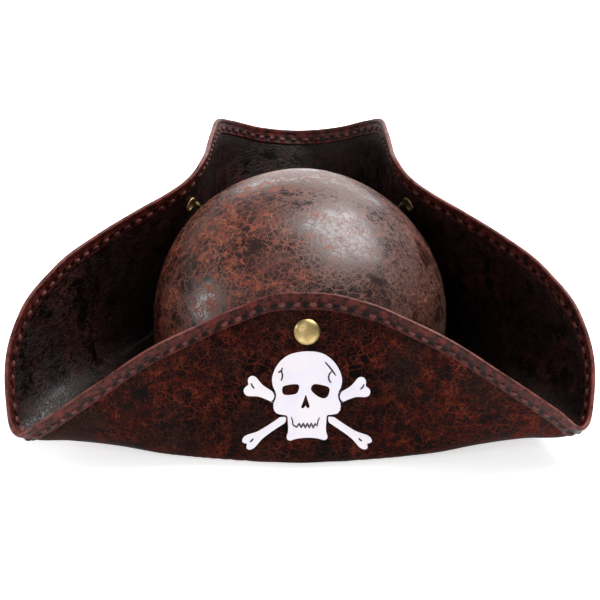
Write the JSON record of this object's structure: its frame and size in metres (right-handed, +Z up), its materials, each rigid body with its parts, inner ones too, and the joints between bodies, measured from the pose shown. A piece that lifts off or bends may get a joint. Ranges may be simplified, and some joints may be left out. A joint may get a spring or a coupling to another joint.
{
  "type": "tricorn hat",
  "caption": "Faux leather tricorn hat with a domed crown, a brim folded up into three snapped flaps, a stitched edge binding and a skull and crossbones badge.",
  "frame": {"origin": "middle of the bounding box in plan, on the surface that the hat rests on", "axes": "+Z up, -Y toward the front flap with the badge, +X toward the viewer's right when the front is seen"},
  "size_m": [0.357, 0.3328, 0.128],
  "materials": {
    "crown_leather": "crackled, rust red over near black, semi gloss",
    "brim_leather": "crackled, dark brown with rust veins, semi gloss",
    "binding_leather": "smooth dark maroon, stitched",
    "brass": "antique, slightly matte",
    "badge_vinyl": "white, faintly lavender, satin"
  },
  "bodies": {
    "root": {"crown": "crown_leather", "brim": "brim_leather", "edge_binding": "binding_leather", "snap_cap_front": "brass", "snap_cap_left": "brass", "snap_cap_right": "brass", "snap_stud_front": "brass", "snap_stud_left": "brass", "snap_stud_right": "brass", "skull_patch": "badge_vinyl", "bone_patch_upper_left": "badge_vinyl", "bone_patch_upper_right": "badge_vinyl", "bone_patch_lower_left": "badge_vinyl", "bone_patch_lower_right": "badge_vinyl"}
  },
  "joints": []
}
